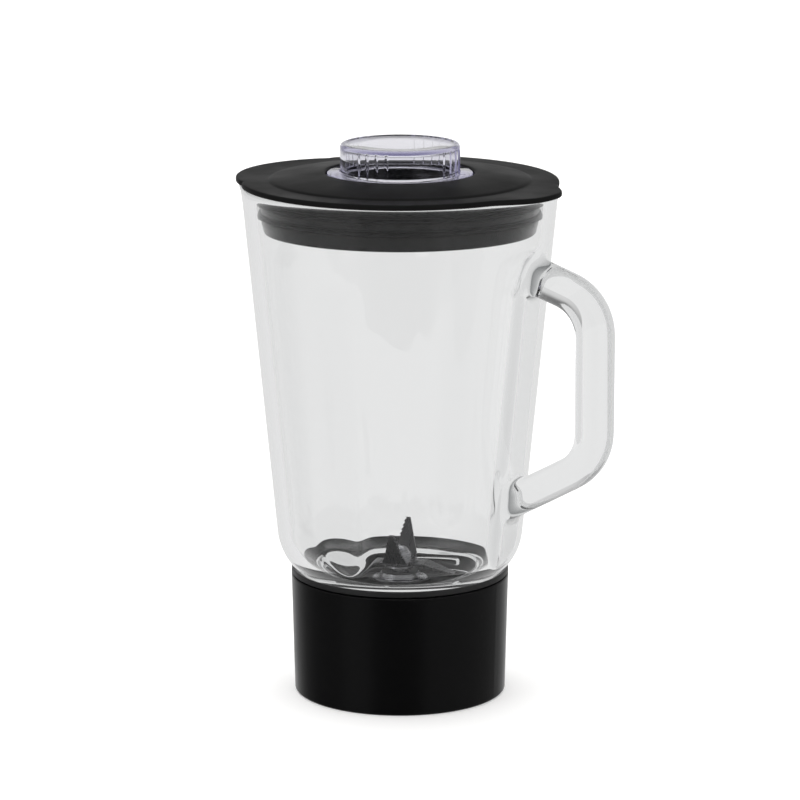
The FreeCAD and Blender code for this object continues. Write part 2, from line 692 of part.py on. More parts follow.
def glass_jar():
    """The jar body: conical wall with ribs and pouring lip, rounded shoulder, neck and bayonet lugs."""
    z_low = JAR_TOP - SPOUT_DROP
    low_reach = cone_r(z_low)
    cavity = jar_cavity()
    for one in around(rib(), RIB_COUNT):
        cavity = cavity.cut(one)
    above = 0.5
    lean = (SPOUT_REACH - low_reach) / SPOUT_DROP
    hollow = oblique_cone(SPOUT_R - GLASS_WALL, low_reach - GLASS_WALL,
                          SPOUT_REACH - GLASS_WALL + above * lean, z_low, JAR_TOP + above)
    lug = ring_sector(NECK_R - 1.0, GLASS_LUG_R, *LUG_Z, 0, LUG_SPAN)
    body = fuse_all([jar_block()] + around(lug, LUG_COUNT))
    body = body.cut(cavity).cut(hollow)
    rim = [e for e in body.Edges if e.BoundBox.ZMin > JAR_TOP - 0.1]
    return body.makeFillet(RIM_ROUND, rim)


def jar_handle():
    """The glass bow, trimmed to the outside of the wall that it grows from."""
    return handle().cut(jar_outer())


# ---------------------------------------------------------------- lid
def seal_groove(z_low):
    """Groove turned into the plug for one seal."""
    return ring(seal_root(z_low), PLUG_R[1] + 1.0, z_low, z_low + SEAL_T)


def seal_root(z_low):
    """Radius of a seal groove's floor, 1.5 below the plug's surface."""
    share = (z_low - PLUG_FOOT) / (LID_UNDER - PLUG_FOOT)
    return PLUG_R[0] + share * (PLUG_R[1] - PLUG_R[0]) - 1.5


def lid_cover():
    """Crown and flange, with the lobe over the pouring lip and the thumb tab."""
    edge = 0.7
    crown = lathe([
        (CAP_HOLE_R, LID_CEILING),
        (SPIGOT_R, LID_CEILING),
        (SPIGOT_R, LID_UNDER),
        (FLANGE_R - edge, LID_UNDER),
        (FLANGE_R, LID_UNDER + edge),
        (FLANGE_R, FLANGE_TOP - edge),
        (FLANGE_R - edge, FLANGE_TOP),
        (CREASE_R, FLANGE_TOP),
        (CREASE_R - 0.8, FLANGE_TOP + 0.5),
        ((46.0, 237.3), (RECESS_R + 1.8, CREST_Z)),
        ((RECESS_R + 0.5, CREST_Z - 0.4), (RECESS_R, CREST_Z - 1.4)),
        (RECESS_R, RECESS_FLOOR),
        (CAP_HOLE_R, RECESS_FLOOR),
    ])
    lobe = Part.makeCylinder(LOBE_R, FLANGE_T, V(LOBE_R - LOBE_REACH, 0, LID_UNDER))
    lobe = lobe.makeFillet(edge, [e for e in lobe.Edges if len(e.Vertexes) == 1])
    keep = Part.makeBox(60, 120, 20, V(-CREASE_R - 60, -60, LID_UNDER - 5))
    return fuse_all([crown, lobe.common(keep), thumb_tab()])


def polar(radius, degrees, z):
    """A point at a radius and an angle about Z."""
    return V(radius * math.cos(math.radians(degrees)), radius * math.sin(math.radians(degrees)), z)


def thumb_tab():
    """Tapered tab that lifts the lid, with rounded corners at its tip."""
    inside = FLANGE_R - 1.0
    corners = [polar(CREASE_R, TAB_FOOT_HALF, LID_UNDER), polar(inside, TAB_FOOT_HALF, LID_UNDER),
               polar(TAB_REACH, TAB_TIP_HALF, LID_UNDER), polar(TAB_REACH, -TAB_TIP_HALF, LID_UNDER),
               polar(inside, -TAB_FOOT_HALF, LID_UNDER), polar(CREASE_R, -TAB_FOOT_HALF, LID_UNDER)]
    plate = Part.Face(Part.makePolygon(corners + [corners[0]])).extrude(V(0, 0, FLANGE_T))
    tip_edges = [e for e in plate.Edges if e.BoundBox.ZLength > 1 and e.BoundBox.XMin > FLANGE_R + 1]
    return turned(plate.makeFillet(TAB_ROUND, tip_edges), TAB_TURN)


def lid_plug():
    """Soft ring under the flange that enters the jar, grooved for its two seals."""
    inner = SPIGOT_R + 0.1
    ring_body = lathe([
        (inner, PLUG_FOOT),
        (PLUG_R[0] - 1.4, PLUG_FOOT),
        ((PLUG_R[0] - 0.4, PLUG_FOOT + 0.4), (PLUG_R[0], PLUG_FOOT + 1.4)),
        (PLUG_R[1], LID_UNDER),
        (inner, LID_UNDER),
    ])
    for z_low in (SEAL_LOW, SEAL_HIGH):
        ring_body = ring_body.cut(seal_groove(z_low))
    return ring_body


def lid_seal(z_low, lip_r):
    """Soft ring in a groove of the plug, with one wiping lip."""
    root = seal_root(z_low)
    return lathe([
        (root, z_low),
        (root + 1.5, z_low),
        (lip_r, z_low + 0.9),
        (lip_r, z_low + 1.3),
        (root + 2.0, z_low + SEAL_T),
        (root, z_low + SEAL_T),
    ])


# ---------------------------------------------------------------- measuring cap
def measuring_cap():
    """Clear cup turned upside down in the lid: closed drum, seating flange and tube."""
    inner = CAP_DRUM_R - 2.2
    tube_in = CAP_TUBE_R - CAP_WALL
    body = lathe([
        (tube_in, CAP_FOOT),
        (CAP_TUBE_R, CAP_FOOT),
        (CAP_TUBE_R, CAP_FLANGE_Z[0]),
        (CAP_FLANGE_R - 0.4, CAP_FLANGE_Z[0]),
        (CAP_FLANGE_R, CAP_FLANGE_Z[0] + 0.4),
        (CAP_FLANGE_R, CAP_FLANGE_Z[1] - 0.4),
        (CAP_FLANGE_R - 0.4, CAP_FLANGE_Z[1]),
        (CAP_DRUM_R, CAP_FLANGE_Z[1]),
        (CAP_DRUM_R, CAP_TOP - 1.8),
        ((CAP_DRUM_R - 0.53, CAP_TOP - 0.53), (CAP_DRUM_R - 1.8, CAP_TOP)),
        (0, CAP_TOP),
        (0, CAP_TOP - CAP_WALL),
        (inner - 1.2, CAP_TOP - CAP_WALL),
        ((inner - 0.35, CAP_TOP - CAP_WALL - 0.35), (inner, CAP_TOP - CAP_WALL - 1.2)),
        (tube_in, CAP_FLANGE_Z[0]),
    ])
    bar = Part.makeCylinder(0.8, CAP_TOP - 1.4 - CAP_FLANGE_Z[1] + 0.4,
                            V(CAP_DRUM_R - 0.2, 0, CAP_FLANGE_Z[1] - 0.4))
    bars = []
    for group in range(4):
        for i in range(GRIP_RIBS):
            bars.append(turned(bar, 90.0 * group + GRIP_RIB_STEP * (i - (GRIP_RIBS - 1) / 2)))
    return fuse_all([body] + bars)


# ---------------------------------------------------------------- output
PARTS = {
    "base_sleeve": base_sleeve(),
    "collar": collar(),
    "docking_ring": docking_ring(),
    "docking_screws": docking_screws(),
    "blade_carrier": blade_carrier(),
    "jar_gasket": jar_gasket(),
    "bearing_housing": bearing_housing(),
    "upper_bush": bush(*UPPER_BUSH_Z),
    "lower_bush": bush(*LOWER_BUSH_Z),
    "shaft_seal": shaft_seal(),
    "housing_nut": housing_nut(),
    "blade_shaft": blade_shaft(),
    "retaining_ring": retaining_ring(),
    "thrust_washer": thrust_washer(),
    "blade_spacer": blade_spacer(),
    "upper_blade": upper_blade(),
    "lower_blade": lower_blade(),
    "blade_nut": blade_nut(),
    "drive_coupling": drive_coupling(),
    "coupling_insert": coupling_insert(),
    "glass_jar": glass_jar(),
    "jar_handle": jar_handle(),
    "lid_cover": lid_cover(),
    "lid_plug": lid_plug(),
    "lid_seal_low": lid_seal(SEAL_LOW, 63.9),
    "lid_seal_high": lid_seal(SEAL_HIGH, 64.4),
    "measuring_cap": measuring_cap(),
}

os.makedirs("parts", exist_ok=True)
for name, shape in PARTS.items():
    shape.exportStep("parts/" + name + ".step")
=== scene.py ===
"""Looks of the glass blender jug, built round its CAD frame.

New meshes stand in for the glass jar, the lid, its plug ring and the measuring cap.
Every other CAD node shows as it is.

Lengths in this script are millimetres until a mesh is made; the scene itself is in metres.
The frame is the CAD one: +Z up along the jar's axis, +X towards the handle.
"""

import json
import math

import bmesh
import bpy
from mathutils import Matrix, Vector


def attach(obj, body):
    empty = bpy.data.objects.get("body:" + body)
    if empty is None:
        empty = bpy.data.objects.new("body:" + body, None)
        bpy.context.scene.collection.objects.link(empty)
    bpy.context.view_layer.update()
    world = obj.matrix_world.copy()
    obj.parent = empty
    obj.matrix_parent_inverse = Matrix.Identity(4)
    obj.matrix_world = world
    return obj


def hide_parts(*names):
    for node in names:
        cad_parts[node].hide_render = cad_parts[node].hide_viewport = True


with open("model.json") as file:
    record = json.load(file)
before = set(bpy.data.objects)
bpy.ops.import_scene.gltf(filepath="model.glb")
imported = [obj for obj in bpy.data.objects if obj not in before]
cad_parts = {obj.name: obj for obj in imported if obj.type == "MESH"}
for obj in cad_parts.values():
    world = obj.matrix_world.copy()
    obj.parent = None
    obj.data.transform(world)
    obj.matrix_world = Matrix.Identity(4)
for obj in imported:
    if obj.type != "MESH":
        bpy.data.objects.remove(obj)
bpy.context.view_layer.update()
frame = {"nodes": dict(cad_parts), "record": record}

MM = 0.001

# ---------------------------------------------------------------- camera
CAMERA_AZIMUTH = 28.0          # degrees round the jug from -Y towards +X
CAMERA_DISTANCE = 1.7201       # metres from the jar's axis, level
CAMERA_HEIGHT = 0.5136
CAMERA_PITCH = 12.443          # degrees below level
CAMERA_LENS = 175.76

# ---------------------------------------------------------------- glass jar
JAR_FOOT = 42.0
JAR_TOP = 232.0
GLASS_WALL = 5.6
NECK_R = 41.0
NECK_BORE = 36.0
CONE_FOOT_Z = 74.0
CONE_FOOT_R = 55.6
CONE_SLOPE = 0.0972
SHOULDER_R = 26.3
LEAN_COSINE = 0.9953           # of the conical wall's lean, whose tangent is CONE_SLOPE
LEAN_SINE = 0.0967
SHOULDER_R_C = CONE_FOOT_R - LEAN_COSINE * SHOULDER_R
SHOULDER_Z_C = CONE_FOOT_Z + LEAN_SINE * SHOULDER_R
RIB_COUNT = 4
RIB_HALF = 14.5
RIB_DEPTH = 2.0                # at the top; a rib grows to RIB_DEPTH_LOW at the foot of the cone
RIB_DEPTH_LOW = 3.2
RIB_TOP = 203.0
RIB_FOOT = (50.0, 58.0)        # the ribs fade out between these heights
SPOUT_R = 51.0
SPOUT_REACH = 75.0
SPOUT_DROP = 8.6
SPOUT_BLEND = 1.2              # softness of the fold between wall and lip
LUG_Z = (46.0, 49.4)
LUG_HEIGHT = 2.5
LUG_HALF = 18.0                # degrees
LUG_STEP = 90.0

# ---------------------------------------------------------------- handle
GRIP_X = 96.8
UPPER_ROOT = (64.0, 198.3)
LOWER_ROOT = (55.5, 92.9)
UPPER_SLOPE = -0.337
LOWER_SLOPE = 0.56
ELBOW_R_UPPER = 21.0
ELBOW_R_LOWER = 22.0
GRIP_HALF_THICK = 7.5
GRIP_HALF_WIDTH = 9.5
GRIP_SQUARENESS = 3.0          # 2 is an ellipse, larger is squarer
ROOT_FILLET = 5.0
ROOT_WINDOW = 16.0             # half-angle of the patch of wall that a root grows from, degrees
ROOT_CELLS = 16                # quads along each side of that patch

# ---------------------------------------------------------------- lid
FLANGE_R = 71.0
FLANGE_TOP = 234.8
FLANGE_T = 2.4
CREASE_R = 59.0
CREST_Z = 238.4
RECESS_R = 33.2
RECESS_FLOOR = 235.6
CAP_HOLE_R = 26.6
PLUG_FOOT_R = 61.5
PLUG_TOP_R = 63.3
PLUG_FOOT = 213.0
SPIGOT_R = 57.5
LID_CEILING = 230.8
SEALS = (220.2, 226.0)
SEAL_T = 2.0
GROOVE_DEPTH = 1.5             # of the groove that a seal sits in
LOBE_R = 51.0
LOBE_REACH = 76.6
TAB_REACH = 80.4
TAB_TURN = -6.0
TAB_TIP_HALF = 8.0
TAB_FOOT_HALF = 24.0
TAB_SHARPNESS = 30             # power that blends the tab's tip and sides; larger is sharper
EDGE_R = 0.8                   # rounding of the flange's edge

# ---------------------------------------------------------------- measuring cap
CAP_TUBE_R = 26.1
CAP_DRUM_R = 26.7
CAP_FLANGE_R = 32.6
CAP_FLANGE_Z = (235.9, 238.0)
CAP_TOP = 251.2
CAP_FOOT = 212.0
CAP_WALL = 1.8
CAP_TUBE_IN = CAP_TUBE_R - CAP_WALL
CAP_DISH = 0.4                 # how far the middle of the top lies below its rim
GRIP_RIB_ANGLES = (-15.0, -5.0, 5.0, 15.0)
GRIP_RIB_HEIGHT = 0.6
GRIP_RIB_HALF = 1.7            # degrees


# ---------------------------------------------------------------- small maths
def smoothstep(low, high, x):
    """0 below low, 1 above high, smooth between."""
    t = min(max((x - low) / (high - low), 0.0), 1.0)
    return t * t * (3 - 2 * t)


def soft_max(a, b, blend):
    """The larger of two numbers, rounded where they cross."""
    return (a + b + math.sqrt((a - b) ** 2 + blend ** 2)) / 2


def spread(first, last, count):
    """Evenly spaced numbers from first to last, both included."""
    return [first + (last - first) * i / (count - 1) for i in range(count)]


def wrap(angle):
    """An angle in degrees brought into -180..180."""
    return (angle + 180.0) % 360.0 - 180.0


def arc(centre, radius, start, end, count):
    """Points (r, z) of an arc; angles in degrees from the outward direction."""
    return [(centre[0] + radius * math.cos(math.radians(a)), centre[1] + radius * math.sin(math.radians(a)))
            for a in spread(start, end, count)]


def offset_circle(angle, centre, radius):
    """Distance from the axis to a circle whose centre lies at a distance along angle 0."""
    sine = math.sin(math.radians(angle))
    under = radius ** 2 - (centre * sine) ** 2
    if under <= 0 or abs(angle) > 90:
        return 0.0
    return centre * math.cos(math.radians(angle)) + math.sqrt(under)


def polar(radius, angle, z):
    """A point in metres from millimetres round the axis."""
    a = math.radians(angle)
    return Vector((radius * math.cos(a), radius * math.sin(a), z)) * MM


# ---------------------------------------------------------------- mesh helpers
def new_object(name, bm):
    """An object from a bmesh, smooth shaded, with its normals turned outward."""
    bmesh.ops.recalc_face_normals(bm, faces=bm.faces)
    for face in bm.faces:
        face.smooth = True
    mesh = bpy.data.meshes.new(name)
    bm.to_mesh(mesh)
    bm.free()
    obj = bpy.data.objects.new(name, mesh)
    bpy.context.collection.objects.link(obj)
    return obj


def turned_grid(bm, angles, rows):
    """Vertices of a surface round the axis: one list for each row, one vertex for each angle."""
    grid = []
    for row in rows:
        ring = []
        for angle in angles:
            r, z = row(angle)
            ring.append(bm.verts.new(polar(r, angle, z)))
        grid.append(ring)
    return grid


def close_grid(bm, grid, skip=()):
    """Faces between neighbouring rows and columns, closed both ways round; skip holds (row, column) pairs."""
    rows, columns = len(grid), len(grid[0])
    for i in range(rows):
        upper, lower = grid[i], grid[(i + 1) % rows]
        for j in range(columns):
            if (i, j) in skip:
                continue
            k = (j + 1) % columns
            bm.faces.new((upper[j], upper[k], lower[k], lower[j]))


def bridge(bm, ring_a, ring_b):
    """Faces between two rings of the same length."""
    count = len(ring_a)
    for i in range(count):
        k = (i + 1) % count
        bm.faces.new((ring_a[i], ring_a[k], ring_b[k], ring_b[i]))


def fixed(r, z):
    """A row of a turned surface that is the same all round."""
    return lambda angle: (r, z)


def add_subdivision(obj, levels):
    """Smooths a mesh made of quads."""
    modifier = obj.modifiers.new("smooth", "SUBSURF")
    modifier.levels = levels
    modifier.render_levels = levels
    return obj


# ---------------------------------------------------------------- jar surfaces
def cone_r(z):
    """Outer radius of the jar's conical wall."""
    return CONE_FOOT_R + CONE_SLOPE * (z - CONE_FOOT_Z)


def spout_r(angle, z, inset):
    """Radius of the pouring lip at an angle and height, 0 where there is none."""
    low = JAR_TOP - SPOUT_DROP
    if z < low:
        return 0.0
    share = (z - low) / SPOUT_DROP
    reach = cone_r(low) + share * (SPOUT_REACH - cone_r(low))
    return offset_circle(wrap(angle - 180.0), reach - SPOUT_R, SPOUT_R - inset)


def with_spout(plain, angle, z, inset):
    """A wall radius with the pouring lip folded into it."""
    lip = spout_r(angle, z, inset)
    if not lip:
        return plain
    low = JAR_TOP - SPOUT_DROP
    return soft_max(plain, lip, SPOUT_BLEND * smoothstep(low, low + 3, z))


def wall_out(angle, z):
    """Outer radius of the wall, pouring lip included."""
    return with_spout(cone_r(z), angle, z, 0.0)


def rib_height(angle, z):
    """How far the nearest rib stands proud of the inner wall: a soft swell that fades into the shoulder."""
    step = 360.0 / RIB_COUNT
    off = wrap(angle) % step
    off = min(off, step - off)
    across = math.radians(off) * (cone_r(z) - GLASS_WALL)
    distance = math.hypot(across, max(z - RIB_TOP + RIB_HALF, 0.0))
    if distance >= RIB_HALF:
        return 0.0
    swell = 0.5 + 0.5 * math.cos(math.pi * distance / RIB_HALF)
    share = min(max((z - CONE_FOOT_Z) / (RIB_TOP - CONE_FOOT_Z), 0.0), 1.0)
    depth = RIB_DEPTH_LOW + (RIB_DEPTH - RIB_DEPTH_LOW) * share
    return depth * swell * smoothstep(RIB_FOOT[0], RIB_FOOT[1], z)


def wall_in(angle, z):
    """Inner radius of the conical wall, ribs and pouring lip included."""
    return with_spout(cone_r(z) - GLASS_WALL, angle, z, GLASS_WALL) - rib_height(angle, z)


def shoulder_in(z):
    """Inner radius on the rounded shoulder."""
    radius = SHOULDER_R - GLASS_WALL
    return SHOULDER_R_C + math.sqrt(max(radius ** 2 - (SHOULDER_Z_C - z) ** 2, 0.0))


def inner_r(angle, z):
    """Inner radius at any height above the neck: the ribs fade into the shoulder."""
    if z >= CONE_FOOT_Z:
        return wall_in(angle, z)
    rib_face = cone_r(z) - GLASS_WALL - rib_height(angle, z)
    return min(shoulder_in(z), rib_face)


def neck_r(angle, z):
    """Outer radius of the neck, with its four bayonet lugs."""
    off = wrap(angle) % LUG_STEP
    off = min(off, LUG_STEP - off)
    rise = smoothstep(LUG_Z[0] - 0.3, LUG_Z[0] + 0.3, z) - smoothstep(LUG_Z[1] - 0.3, LUG_Z[1] + 0.3, z)
    return NECK_R + LUG_HEIGHT * rise * (1 - smoothstep(LUG_HALF - 1, LUG_HALF + 1, off))


def outer_rows(window_rows):
    """Rows of the outside, from the foot of the neck to just under the rim."""
    neck_top = SHOULDER_Z_C - math.sqrt(SHOULDER_R ** 2 - (NECK_R - SHOULDER_R_C) ** 2)
    rows = [fixed(NECK_R - 1.2, JAR_FOOT), fixed(NECK_R - 0.3, JAR_FOOT + 0.3)]
    for z in [43.2, 45.2, 46.2, 47.6, 49.2, 50.2, neck_top - 1.0, neck_top]:
        rows.append(lambda angle, z=z: (neck_r(angle, z), z))
    start = math.degrees(math.atan2(neck_top - SHOULDER_Z_C, NECK_R - SHOULDER_R_C))
    end = math.degrees(math.atan2(CONE_FOOT_Z - SHOULDER_Z_C, CONE_FOOT_R - SHOULDER_R_C))
    rows += [fixed(*p) for p in arc((SHOULDER_R_C, SHOULDER_Z_C), SHOULDER_R, start, end, 20)[1:]]
    first = len(rows)
    heights = []
    lower, upper = window_rows
    heights += spread(CONE_FOOT_Z, lower[0], 3)[1:-1]
    heights += spread(*lower, ROOT_CELLS + 1)
    heights += spread(lower[1], upper[0], 26)[1:-1]
    heights += spread(*upper, ROOT_CELLS + 1)
    heights += spread(upper[1], JAR_TOP - 2.4, 10)[1:]
    for z in heights:
        rows.append(lambda angle, z=z: (wall_out(angle, z), z))
    lower_row = first + heights.index(lower[0])
    upper_row = first + heights.index(upper[0])
    return rows, lower_row, upper_row


def rim_rows():
    """Fire-polished rim, from outside to inside."""
    rows = []
    for a in spread(15.0, 165.0, 9):
        def row(angle, a=a):
            outside = wall_out(angle, JAR_TOP)
            inside = wall_in(angle, JAR_TOP)
            r = (outside + inside) / 2 + (outside - inside) / 2 * math.cos(math.radians(a))
            return r, JAR_TOP - 2.2 + 2.2 * math.sin(math.radians(a))
        rows.append(row)
    return rows


def inner_rows():
    """Rows of the inside, from under the rim down to the foot of the neck."""
    shoulder_foot = 57.6
    heights = spread(JAR_TOP - 2.4, RIB_TOP + 2.0, 12)
    heights += spread(RIB_TOP + 2.0, RIB_TOP - 20.0, 20)[1:]
    heights += spread(RIB_TOP - 20.0, CONE_FOOT_Z + 6.0, 40)[1:]
    heights += spread(CONE_FOOT_Z + 6.0, shoulder_foot, 22)[1:]
    rows = [lambda angle, z=z: (inner_r(angle, z), z) for z in heights]
    radius = SHOULDER_R - GLASS_WALL
    first = math.degrees(math.atan2(shoulder_foot - SHOULDER_Z_C, shoulder_in(shoulder_foot) - SHOULDER_R_C))
    bore_z = SHOULDER_Z_C - math.sqrt(radius ** 2 - (NECK_BORE - SHOULDER_R_C) ** 2)
    last = math.degrees(math.atan2(bore_z - SHOULDER_Z_C, NECK_BORE - SHOULDER_R_C))
    rows += [fixed(*p) for p in arc((SHOULDER_R_C, SHOULDER_Z_C), radius, first, last, 7)[1:]]
    rows += [fixed(NECK_BORE, z) for z in (54.0, 50.0, 46.0, 43.2)]
    rows += [fixed(NECK_BORE + 0.3, JAR_FOOT + 0.3), fixed(NECK_BORE + 1.2, JAR_FOOT)]
    return rows


# ---------------------------------------------------------------- handle
def flat(r, z):
    """A point of the handle's plane, in millimetres."""
    return Vector((r, 0.0, z))


def elbow(before, corner, after, radius, count):
    """Centres and directions along the arc that rounds a corner of the handle's centreline."""
    come = (corner - before).normalized()
    leave = (after - corner).normalized()
    turn = come.angle(leave)
    run = radius * math.tan(turn / 2)
    start = corner - come * run
    normal = (leave - come * come.dot(leave)).normalized()
    centre = start + normal * radius
    stations = []
    for a in spread(0.0, turn, count):
        point = centre - normal * radius * math.cos(a) + come * radius * math.sin(a)
        heading = come * math.cos(a) + normal * math.sin(a)
        stations.append((point, heading))
    return stations


def handle_stations():
    """Centres and directions of the handle's sections between its two roots."""
    upper = flat(*UPPER_ROOT)
    lower = flat(*LOWER_ROOT)
    upper_corner = flat(GRIP_X, UPPER_ROOT[1] + UPPER_SLOPE * (GRIP_X - UPPER_ROOT[0]))
    lower_corner = flat(GRIP_X, LOWER_ROOT[1] + LOWER_SLOPE * (GRIP_X - LOWER_ROOT[0]))
    first = elbow(upper, upper_corner, lower_corner, ELBOW_R_UPPER, 13)
    second = elbow(upper_corner, lower_corner, lower, ELBOW_R_LOWER, 12)
    top, bottom = first[-1][0], second[0][0]
    grip = [(top.lerp(bottom, t), (bottom - top).normalized()) for t in spread(0.0, 1.0, 12)[1:-1]]
    return first + grip + second


def section_reach(psi):
    """Distance from a section's centre to its outline; psi 0 is sideways, 90 across."""
    c = abs(math.cos(psi)) / GRIP_HALF_WIDTH
    s = abs(math.sin(psi)) / GRIP_HALF_THICK
    return (c ** GRIP_SQUARENESS + s ** GRIP_SQUARENESS) ** (-1 / GRIP_SQUARENESS)


def section_offset(heading, psi, extra=0.0):
    """From a section's centre to its outline, in the plane square to the heading."""
    side = Vector((0.0, 1.0, 0.0))
    across = heading.cross(side)
    reach = section_reach(psi) + extra
    return (side * math.cos(psi) + across * math.sin(psi)) * reach


def wall_hit(start, heading):
    """Where a line along the heading crosses the outside of the wall."""
    low, high = -60.0, 60.0
    for _ in range(50):
        middle = (low + high) / 2
        p = start + heading * middle
        if math.hypot(p.x, p.y) < cone_r(p.z):
            low = middle
        else:
            high = middle
    return start + heading * low


def on_wall(point):
    """The same point pushed in or out onto the wall."""
    angle = math.atan2(point.y, point.x)
    r = cone_r(point.z)
    return Vector((r * math.cos(angle), r * math.sin(angle), point.z))


def window_loop(grid, row, column):
    """The vertices round a root's patch of wall, counter-clockwise from its +Y side's middle."""
    half = ROOT_CELLS // 2
    path = [(half, k) for k in range(0, half)]
    path += [(k, half) for k in range(half, -half, -1)]
    path += [(-half, k) for k in range(half, -half, -1)]
    path += [(k, -half) for k in range(-half, half)]
    path += [(half, k) for k in range(-half, 0)]
    loop = [grid[row + half + v][(column + half + u) % len(grid[0])] for u, v in path]
    return loop, [math.atan2(v, u) for u, v in path]


def grow_root(bm, loop, psis, centre, heading):
    """Rings from a patch of the wall out to the straight arm; returns the last one."""
    inner = []
    for vert, psi in zip(loop, psis):
        edge = vert.co / MM
        corner = wall_hit(centre + section_offset(heading, psi), heading)
        foot = wall_hit(centre + section_offset(heading, psi, ROOT_FILLET), heading)
        top = corner + heading * ROOT_FILLET
        inner.append((edge, foot, corner, top))
    last = loop
    for t in (0.3, 0.6, 0.85):
        ring = [bm.verts.new(on_wall(edge.lerp(foot, t)) * MM) for edge, foot, corner, top in inner]
        bridge(bm, last, ring)
        last = ring
    for t in spread(0.0, 1.0, 8):
        ring = []
        for edge, foot, corner, top in inner:
            p = foot * (1 - t) ** 2 + corner * 2 * t * (1 - t) + top * t ** 2
            ring.append(bm.verts.new(p * MM))
        bridge(bm, last, ring)
        last = ring
    return last


def grow_handle(bm, grid, lower_row, upper_row, column):
    """The bow between its two roots."""
    upper_loop, psis = window_loop(grid, upper_row, column)
    lower_loop, _ = window_loop(grid, lower_row, column)
    upper_heading = flat(1.0, UPPER_SLOPE).normalized()
    lower_heading = flat(1.0, LOWER_SLOPE).normalized()
    last = grow_root(bm, upper_loop, psis, flat(*UPPER_ROOT), upper_heading)
    end = grow_root(bm, lower_loop, psis, flat(*LOWER_ROOT), lower_heading)
    for centre, heading in handle_stations():
        ring = [bm.verts.new((centre + section_offset(heading, psi)) * MM) for psi in psis]
        bridge(bm, last, ring)
        last = ring
    middle = []
    count = len(psis)
    for i in range(count):
        far = end[-i % count].co
        middle.append(bm.verts.new(last[i].co.lerp(far, 0.5)))
    bridge(bm, last, middle)
    bridge(bm, middle, [end[-i % count] for i in range(count)])


def root_window(root, slope):
    """Lowest and highest height of the patch of wall that a root grows from."""
    heading = flat(1.0, slope).normalized()
    middle = wall_hit(flat(*root), heading).z
    half = math.radians(ROOT_WINDOW) * cone_r(middle)
    return middle - half, middle + half


def build_jar():
    """The whole glass piece as one closed mesh."""
    patch = spread(-ROOT_WINDOW, ROOT_WINDOW, ROOT_CELLS + 1)
    rest = spread(ROOT_WINDOW, 360.0 - ROOT_WINDOW, 165)[1:-1]
    angles = patch + rest
    windows = (root_window(LOWER_ROOT, LOWER_SLOPE), root_window(UPPER_ROOT, UPPER_SLOPE))
    outside, lower_row, upper_row = outer_rows(windows)
    bm = bmesh.new()
    grid = turned_grid(bm, angles, outside + rim_rows() + inner_rows())
    skip = set()
    for row in (lower_row, upper_row):
        for i in range(ROOT_CELLS):
            for j in range(ROOT_CELLS):
                skip.add((row + i, j))
    close_grid(bm, grid, skip)
    grow_handle(bm, grid, lower_row, upper_row, 0)
    loose = [v for v in bm.verts if not v.link_faces]
    bmesh.ops.delete(bm, geom=loose, context="VERTS")
    jar = new_object("jar_glass_body", bm)
    return add_subdivision(jar, 1)


# ---------------------------------------------------------------- lid
def flange_outline(angle):
    """Radius of the flange's edge: round, with the lobe over the pouring lip and the thumb tab."""
    lobe_angle = wrap(angle - 180.0)
    lobe = offset_circle(lobe_angle, LOBE_REACH - LOBE_R, LOBE_R)
    dip = 0.9 * math.exp(-((abs(lobe_angle) - 33.5) / 2.2) ** 2)
    return soft_max(soft_max(FLANGE_R - 0.02, lobe, 0.8), tab_edge(wrap(angle - TAB_TURN)), 0.8) - dip


def tab_edge(angle):
    """Radius of the tapered thumb tab's edge, with its corners rounded off; angle is from its middle."""
    if abs(angle) > TAB_FOOT_HALF + 8.0:
        return 0.0
    tip = (TAB_REACH * math.cos(math.radians(TAB_TIP_HALF)), TAB_REACH * math.sin(math.radians(TAB_TIP_HALF)))
    foot_r = FLANGE_R - 1.0
    foot = (foot_r * math.cos(math.radians(TAB_FOOT_HALF)), foot_r * math.sin(math.radians(TAB_FOOT_HALF)))
    normal = (foot[1] - tip[1], tip[0] - foot[0])
    away = math.radians(abs(angle))
    end = math.cos(away) / tip[0]
    reach = normal[0] * tip[0] + normal[1] * tip[1]
    side = (normal[0] * math.cos(away) + normal[1] * math.sin(away)) / reach
    return (end ** TAB_SHARPNESS + side ** TAB_SHARPNESS) ** (-1 / TAB_SHARPNESS)


def on_flange(share, z, inset=0.0):
    """A row of the flange, from the crease at share 0 to the edge at share 1."""
    return lambda angle: (CREASE_R + share * (flange_outline(angle) - CREASE_R) - inset, z)


def plug_r(z):
    """Outer radius of the plug."""
    share = (z - PLUG_FOOT) / (FLANGE_TOP - FLANGE_T - PLUG_FOOT)
    return PLUG_FOOT_R + share * (PLUG_TOP_R - PLUG_FOOT_R)


